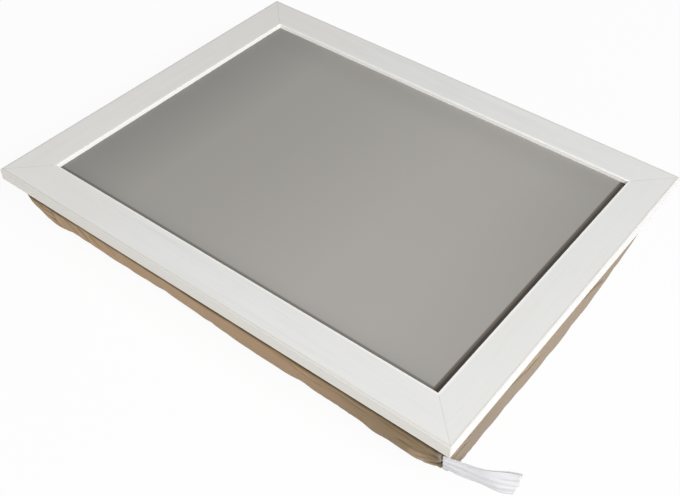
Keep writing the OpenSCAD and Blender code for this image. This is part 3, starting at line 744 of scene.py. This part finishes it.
def cover_relief(P, info):
    """How far the cover stands off the form, its painted shading, deeper the deeper it lies in its hollows,
    and its simulated creases.
    """
    side, t, s, total = info.T
    near = np.minimum(s, total - s)
    field = crumple_field()
    relief, creases = np.zeros(P.shape[:2]), np.zeros(P.shape[:2])
    for j, z in enumerate(COVER_ROWS):
        fade = smooth01(CUSHION_H - z, 0.5, 9.0) * smooth01(z, 0.0, 4.0)
        for i, lean in enumerate(near):
            k = int(side[i])
            # A soft unevenness, and folds that run down and away from the drawn corners
            d = 0.18 * fbm((s[i] / 46.0 + k * 17.3, z / 21.0, 3.1))
            half = 2.0 * (s[i] > total[i] / 2)
            fold = noise.noise(Vector(((lean + 1.1 * z) / 15.0, (lean - z) / 60.0, k * 9.1 + half)))
            d += 0.35 * math.exp(-lean / 46.0) * fold
            if field is not None:
                creases[j, i] = 0.25 * field(Vector(P[j, i]) * MM) * fade
            relief[j, i] = d * fade
    zz = np.array(COVER_ROWS)[:, None]
    # The zip's window and the flap of cloth that the pull lies over stay flat
    gap_t = np.maximum(np.maximum(WINDOW_T[0] - t, t - WINDOW_T[1]), 0) * BACK_PER_T
    gap_z = np.maximum(np.maximum(WINDOW_Z[0] - zz, zz - WINDOW_Z[1]), 0)
    gap = np.hypot(np.maximum(gap_t - 16, 0), gap_z)
    calm = np.where(side == BACK, smooth01(gap, 1.0, 14.0), 1.0)
    relief *= calm
    creases = spread_out(creases, 3, 2) * calm
    relief += fold_relief(*np.broadcast_arrays(side, s, zz))
    # Corner seams and the seam to the base: a sunk line with small puckers beside it
    pucker = np.sin(zz * 2 * math.pi / 6.3 + side * 1.7)
    relief -= 1.3 * np.exp(-(near / 0.9) ** 2)
    relief += 0.30 * np.exp(-((near - 2.3) / 1.3) ** 2) + 0.16 * pucker * np.exp(-(near / 5.0) ** 2)
    low = np.abs(zz - BASE_SEAM_Z)
    pucker = np.sin(s * 2 * math.pi / 7.1 + side * 2.3)
    relief -= 0.75 * np.exp(-(low / 0.6) ** 2)
    relief += 0.28 * np.exp(-((low - 1.7) / 1.0) ** 2) + 0.18 * pucker * np.exp(-(low / 4.0) ** 2)
    # The painted shading: painted shade in the hollows and painted light on the ridges, with painted shade
    # along a corner seam and a painted shadow on the cloth just under the tray
    painted_shading = np.clip((spread_out(relief, 5, 4) - relief) / 0.5, -1.0, 3.0)
    painted_shading += 0.9 * np.exp(-(near / 4.5) ** 2)
    painted_shading += 2.0 * smooth01(zz, 44.4, 48.6) * (1 - 0.8 * smooth01(zz, 49.4, 51.2))
    return relief, painted_shading, creases


def rucks(ring, wave_x, wave_y, seed, mean, swing, most):
    """The depth of the soft rucks at each point of a ring."""
    depth = [mean + swing * noise.noise(Vector((x / wave_x, y / wave_y, seed))) for x, y, _ in ring]
    return np.clip(depth, 0.0, most)


def cover_uvs(mesh, P, first):
    """Cloth coordinates in metres: round and down the sides, and flat over the top and the base."""
    rows, n = P.shape[:2]
    uv = mesh.uv_layers.new(name="cloth")
    top = P[0]
    along = np.concatenate([[0], np.cumsum(np.linalg.norm(np.diff(top, axis=0), axis=1))])
    round_all = along[-1] + np.linalg.norm(top[0] - top[-1])
    depth = np.concatenate([[0], np.cumsum(np.abs(np.diff(P.mean(axis=1)[:, 2])))])
    co = np.array([v.co for v in mesh.vertices])
    for poly in mesh.polygons:
        ids = list(poly.vertices)
        js, cols = [i // n for i in ids], [i % n for i in ids]
        flat = min(js) < first or max(js) >= first + rows
        wraps = max(cols) - min(cols) > 2
        for li, vi, j, col in zip(poly.loop_indices, ids, js, cols):
            if flat:
                uv.data[li].uv = (co[vi, 0], co[vi, 1])
            else:
                a = along[col] + (round_all if wraps and col == 0 else 0.0)
                uv.data[li].uv = (a * MM, depth[j - first] * MM)


def hem(mesh):
    """Turns the window's edge in as a narrow hem."""
    bm = bmesh.new()
    bm.from_mesh(mesh)
    edges = [e for e in bm.edges if e.is_boundary]
    res = bmesh.ops.extrude_edge_only(bm, edges=edges)
    for v in res["geom"]:
        if isinstance(v, bmesh.types.BMVert):
            v.co.y -= 1.2 * MM
    for f in bm.faces:
        f.smooth = True
    bmesh.ops.recalc_face_normals(bm, faces=bm.faces)
    bm.to_mesh(mesh)
    bm.free()


def cushion_cover():
    """The cover as one piece of padded cloth, with a window in its back for the zip."""
    close = (0.35, 0.8, 1.4, 2.1, 3.0, 4.1, 5.4)
    rims, info = ring_columns(1.35, close, marks={BACK: WINDOW_T})
    P = np.array([form(rims, drop(z)) for z in COVER_ROWS])
    # The top edge is turned over a soft radius
    for ring, z in zip(P, COVER_ROWS):
        cut = 4.0 * (1 - smooth01(CUSHION_H - z, 0, 6.5)) ** 1.5
        off = ring[:, :2] - CENTRE
        ring[:, :2] -= off / np.abs(off).max(axis=0) * cut * 0.8
    N = grid_normals(P)
    relief, painted_shading, creases = cover_relief(P, info)
    P = P + N * relief[:, :, None]
    P += N * creases[:, :, None]
    P[:, :, 2] = np.clip(P[:, :, 2], 0.0, CUSHION_H)
    upper_shares = [0.9965, 0.992, 0.984, 0.972, 0.955, 0.93, *np.linspace(0.90, 0.06, 22)]
    lower_shares = [0.992, 0.98, 0.96, 0.93, *np.linspace(0.89, 0.06, 18)]
    upper, lower = [], []
    for f in upper_shares:
        r = scaled_ring(P[0], f)
        inward = (1 - f) * 190
        welt = 0.55 * math.exp(-(inward - 2.0) ** 2 / 3.0)
        sunk = rucks(r, 24.0, 31.0, 7.7, 0.42, 0.42, 0.9) * smooth01(inward, 2, 14)
        r[:, 2] = CUSHION_H - 0.05 - sunk - welt
        upper.append(r)
    for f in lower_shares:
        r = scaled_ring(P[-1], f)
        r[:, 2] = rucks(r, 38.0, 27.0, 1.4, 0.35, 0.6, 0.8) * smooth01((1 - f) * 150, 1, 14)
        lower.append(r)
    n, first = P.shape[1], len(upper)
    j0, j1 = (first + COVER_ROWS.index(z) for z in reversed(WINDOW_Z))
    i0, i1 = (int(np.nonzero((info[:, 0] == BACK) & (info[:, 1] == t))[0][0]) for t in WINDOW_T)

    def window(j, i):
        return j0 <= j < j1 and i0 <= i < i1

    mesh = ring_mesh("cushion_cover", upper[::-1] + list(P) + lower, skip=window)
    # The painted shade of the top row fades out across the top's outer rings
    tuck = [painted_shading[0] * math.exp(-(1 - f) * 200) for f in upper_shares]
    values = np.concatenate([*tuck[::-1], *painted_shading, np.zeros(len(lower) * n + 2)])
    mesh.attributes.new("painted_shading", "FLOAT", "POINT").data.foreach_set("value", values.astype(np.float32))
    cover_uvs(mesh, P, first)
    hem(mesh)
    o = link_object("cushion_cover", mesh, CLOTH, "cushion")
    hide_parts("cover_top", "boxing_front", "boxing_right", "boxing_back", "boxing_left", "cover_base")
    return o, P, info


def inner_body(name, inset, lift, under, mat, slot_name, *replaced, bumpy=0.0):
    """A padded piece that follows the form inside the cover, inset from it."""
    rims, _ = ring_columns(4.0, inset=inset)
    levels = np.linspace(0, drop(0.0), 20)
    P = np.array([form(rims, v, inset, lift, under) for v in levels])
    if bumpy:
        N = grid_normals(P)
        for at in np.ndindex(P.shape[:2]):
            P[at] -= N[at] * bumpy * (0.5 + 0.5 * noise.noise(Vector(P[at]) / 9.0))
    caps = np.linspace(0.05, 0.96, 16), np.linspace(0.96, 0.05, 16)
    rings = [scaled_ring(P[0], f) for f in caps[0]] + list(P) + [scaled_ring(P[-1], f) for f in caps[1]]
    mesh = ring_mesh(name, rings)
    uv = mesh.uv_layers.new(name="cloth")
    co = np.array([v.co for v in mesh.vertices])
    for poly in mesh.polygons:
        for li, vi in zip(poly.loop_indices, poly.vertices):
            uv.data[li].uv = (co[vi, 0] + co[vi, 1] * 0.3, co[vi, 1] + co[vi, 2])
    o = link_object(name, mesh, mat, "cushion")
    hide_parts(*replaced)


cover, cover_grid, cover_info = cushion_cover()
inner_body("liner", 5.2, 1.3, 1.3, LINER, "liner_cloth", "liner_bag", "liner_top")
inner_body("bead_filling", 6.0, 2.1, 2.1, BEADS, "beads", "bead_fill", bumpy=0.5)


# The ribbon label, in millimetres, and its headings in degrees at the near corner's seam and at its tip
LABEL_L, LABEL_W, LABEL_ROOT = 49.0, 22.0, 14.0
LABEL_MID = CUSHION_H - 7.4 - LABEL_ROOT / 2
LABEL_START, LABEL_END = 7.5, 26.5
# Its folds: start and end in shares of its length, place across it at both, half width and depth
LABEL_FOLDS = ((0.66, 1.0, -0.50, -0.34, 0.13, 1.1), (0.74, 1.0, 0.40, 0.62, 0.12, 0.9),
               (0.25, 0.80, 0.20, 0.02, 0.16, 0.5), (0.10, 0.60, -0.50, -0.62, 0.15, 0.4))


def seam_point(z):
    """The near corner's seam at height z."""
    return form(np.array([rim(0, SPAN, HALF_L, HALF_W, 0.0)]), drop(z))[0]


def label_fold(f, up, f0, f1, up0, up1, half, depth):
    share = min(max((f - f0) / (f1 - f0), 0.0), 1.0)
    ends = smooth01(f, f0 - 0.02, f0 + 0.14)
    return depth * (ends * math.exp(-((up - up0 - (up1 - up0) * share) / half) ** 2))


def label_ply(name, offset, spread, seed):
    """One ply of the folded ribbon: f runs along it from the seam, and up from -1 to 1 across it."""
    rows, cols = 72, 28
    verts, uvs = [], []
    root = seam_point(LABEL_MID)
    start, sweep = math.radians(LABEL_START), LABEL_END - LABEL_START
    for r in range(rows + 1):
        f = r / rows
        width = LABEL_ROOT + (LABEL_W - LABEL_ROOT) * f
        for c in range(cols + 1):
            up = 2 * c / cols - 1
            z = LABEL_MID + up * width / 2
            at = root + (seam_point(z) - root) * (1 - f) ** 2
            along = f * (1 + 0.04 * up) + 0.012 * math.sin(up * 3.4 + seed) * smooth01(f, 0.8, 1.0)
            turn = math.radians(LABEL_START + sweep * along)
            heading = (start + turn) / 2
            off = 1.2 * f * math.sin(math.radians(540 * f)) * up + offset + spread * f * f * (0.5 + 0.5 * up)
            off += 0.5 * (1 - f) ** 2 * math.sin(up * 9.0 + seed)
            off += 0.55 * f * noise.noise(Vector((f * 3.0, up * 1.6, seed)))
            off -= sum(label_fold(f, up, *fold) for fold in LABEL_FOLDS)
            x = at[0] + 0.3 + LABEL_L * along * math.cos(heading) - off * math.sin(turn)
            y = at[1] - 0.5 + LABEL_L * along * math.sin(heading) + off * math.cos(turn)
            verts.append((x * MM, y * MM, z * MM))
            uvs.append((f * LABEL_L * MM, up * width / 2 * MM))
    faces = []
    for r in range(rows):
        for c in range(cols):
            a = r * (cols + 1) + c
            faces.append((a, a + cols + 1, a + cols + 2, a + 1))
    mesh = bpy.data.meshes.new(name)
    mesh.from_pydata(verts, [], faces)
    uv = mesh.uv_layers.new(name="cloth")
    for poly in mesh.polygons:
        poly.use_smooth = True
        for li, vi in zip(poly.loop_indices, poly.vertices):
            uv.data[li].uv = uvs[vi]
    o = link_object(name, mesh, RIBBON)
    thick = o.modifiers.new("ply", "SOLIDIFY")
    thick.thickness = 0.16 * MM
    thick.offset = 0.0
    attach(o, "cushion")
    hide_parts("care_label")


label_ply("label_front_ply", -0.12, -0.3, 1.3)
label_ply("label_back_ply", 0.12, 1.0, 4.1)


# Stitching round the zip's window: each stitch is a bent thread with its ends in the cloth
THREAD_R = 0.22
STITCH_RISE, STITCH_SINK = 0.30, 0.10
STITCH_BENDS, THREAD_SIDES = 6, 8


def stitches():
    cols = np.nonzero(cover_info[:, 0] == BACK)[0]
    bm = bmesh.new()

    def surface(x, z):
        """The cover's y at x and z on its back."""
        j = int(np.clip(np.searchsorted([-q for q in COVER_ROWS], -z), 1, len(COVER_ROWS) - 1))
        z0, z1 = COVER_ROWS[j - 1], COVER_ROWS[j]
        f = (z0 - z) / (z0 - z1)
        y0, y1 = (np.interp(x, row[cols, 0][::-1], row[cols, 1][::-1]) for row in cover_grid[j - 1:j + 1])
        return y0 + (y1 - y0) * f

    def stitch(a, b):
        pa, pb = Vector((a[0], surface(*a), a[1])), Vector((b[0], surface(*b), b[1]))
        axis = (pb - pa).normalized()
        out = Vector((0, 1, 0))
        across = axis.cross(out).normalized()
        rings = []
        for q in range(STITCH_BENDS + 1):
            f = q / STITCH_BENDS
            c = pa.lerp(pb, f) + out * (STITCH_RISE * math.sin(math.pi * f) - STITCH_SINK)
            rings.append([bm.verts.new((c + (across * math.cos(w) + out * math.sin(w)) * THREAD_R) * MM)
                          for w in (2 * math.pi * m / THREAD_SIDES for m in range(THREAD_SIDES))])
        for r0, r1 in zip(rings, rings[1:]):
            for m in range(THREAD_SIDES):
                m2 = (m + 1) % THREAD_SIDES
                bm.faces.new((r0[m], r0[m2], r1[m2], r1[m]))
        bm.faces.new(rings[0][::-1])
        bm.faces.new(rings[-1])

    left, right = (rim(BACK, t, HALF_L, HALF_W, 0.0)[0] + SHIFT_X for t in reversed(WINDOW_T))
    left, right = left - 2.2, right + 2.2
    count = int((right - left) / 3.2)
    for z in (WINDOW_Z[0] - 1.8, WINDOW_Z[1] + 1.8):
        for q in range(count):
            x = left + (right - left) * q / count
            stitch((x, z), (x + 2.4, z))
    for x in (left, right):
        for q in range(4):
            z = WINDOW_Z[0] - 1.6 + 3.4 * q
            stitch((x, z), (x, z + 2.5))
    bmesh.ops.recalc_face_normals(bm, faces=bm.faces)
    mesh = bpy.data.meshes.new("zip_stitching")
    bm.to_mesh(mesh)
    bm.free()
    for p in mesh.polygons:
        p.use_smooth = True
    o = link_object("zip_stitching", mesh, THREAD, "cushion")


stitches()


# Floor, light and camera
AIM = (0.0, 0.0, 0.05)


def seen_rays(tree):
    """1 for what the camera sees, straight, in a reflection or through a clear body, and 0 for the light."""
    path = tree.nodes.new("ShaderNodeLightPath")
    seen = plus(tree, path.outputs["Is Camera Ray"], path.outputs["Is Glossy Ray"])
    return math_node(tree, "ADD", seen, path.outputs["Is Transmission Ray"], clamp=True)


def floor():
    """A white floor that looks nearly as bright as the sky and lights the object far less."""
    mesh = bpy.data.meshes.new("floor")
    bm = bmesh.new()
    bmesh.ops.create_grid(bm, x_segments=8, y_segments=8, size=6.0)
    bm.to_mesh(mesh)
    bm.free()
    mat, tree, links, shader = new_material("floor_white")
    mottling = noise_node(tree, coords(tree), 3.0, 2.0)
    links.new(mix_colour(tree, mottling, (0.78, 0.78, 0.78), (0.80, 0.80, 0.80)), shader.inputs["Base Color"])
    socket(shader, Roughness=0.9, Specular_IOR_Level=0.0)
    glow = tree.nodes.new("ShaderNodeEmission")
    glow.inputs["Strength"].default_value = 1.0
    both = tree.nodes.new("ShaderNodeMixShader")
    links.new(times(tree, seen_rays(tree), 0.95), both.inputs[0])
    links.new(shader.outputs[0], both.inputs[1])
    links.new(glow.outputs[0], both.inputs[2])
    links.new(both.outputs[0], tree.nodes["Material Output"].inputs["Surface"])
    o = link_object("floor", mesh, mat)
    # A hair below the cushion, so that the two faces don't share one plane
    o.location.z = -0.0003


def lamp(name, distance, azimuth, elevation, watts, size_x, size_y):
    """A soft rectangular lamp aimed at the tray, left out of reflections."""
    a, e = math.radians(azimuth), math.radians(elevation)
    place = (AIM[0] + distance * math.cos(e) * math.cos(a), AIM[1] + distance * math.cos(e) * math.sin(a),
             AIM[2] + distance * math.sin(e))
    data = bpy.data.lights.new(name, "AREA")
    data.energy = watts
    data.shape = "RECTANGLE"
    data.size, data.size_y = size_x, size_y
    o = link_object(name, data)
    o.location = place
    o.rotation_euler = (Vector(AIM) - Vector(place)).to_track_quat("-Z", "Y").to_euler()
    o.visible_glossy = False


def light():
    """Two lamps, and a white world that is seen at full strength and lights at the ambient share."""
    lamp("key", 2.6, -15, 37, 74.0, 1.3, 0.50)
    lamp("front_fill", 2.4, -105, 16, 16.0, 1.2, 0.8)
    world = bpy.data.worlds.new("studio")
    bpy.context.scene.world = world
    world.use_nodes = True
    tree = world.node_tree
    back = tree.nodes["Background"]
    ambient = 0.12
    strength = plus(tree, times(tree, seen_rays(tree), 1 - ambient), ambient)
    tree.links.new(strength, back.inputs["Strength"])
    back.inputs["Color"].default_value = (1.0, 1.0, 1.0, 1.0)


def camera():
    """The camera from which the tray's edges were fitted."""
    data = bpy.data.cameras.new("camera")
    data.sensor_width = 36.0
    data.lens = 53.076
    data.shift_x = -0.07307
    data.shift_y = 0.00732
    o = link_object("camera", data)
    right, up, back = (0.80245, 0.59602, 0.02901), (-0.43427, 0.54996, 0.71341), (0.40925, -0.58507, 0.70015)
    place = (0.38437, -0.48112, 0.57845)
    o.matrix_world = Matrix((*zip(right, up, back, place), (0, 0, 0, 1)))
    bpy.context.scene.camera = o


floor()
light()
camera()
bpy.context.scene.view_settings.view_transform = "Standard"
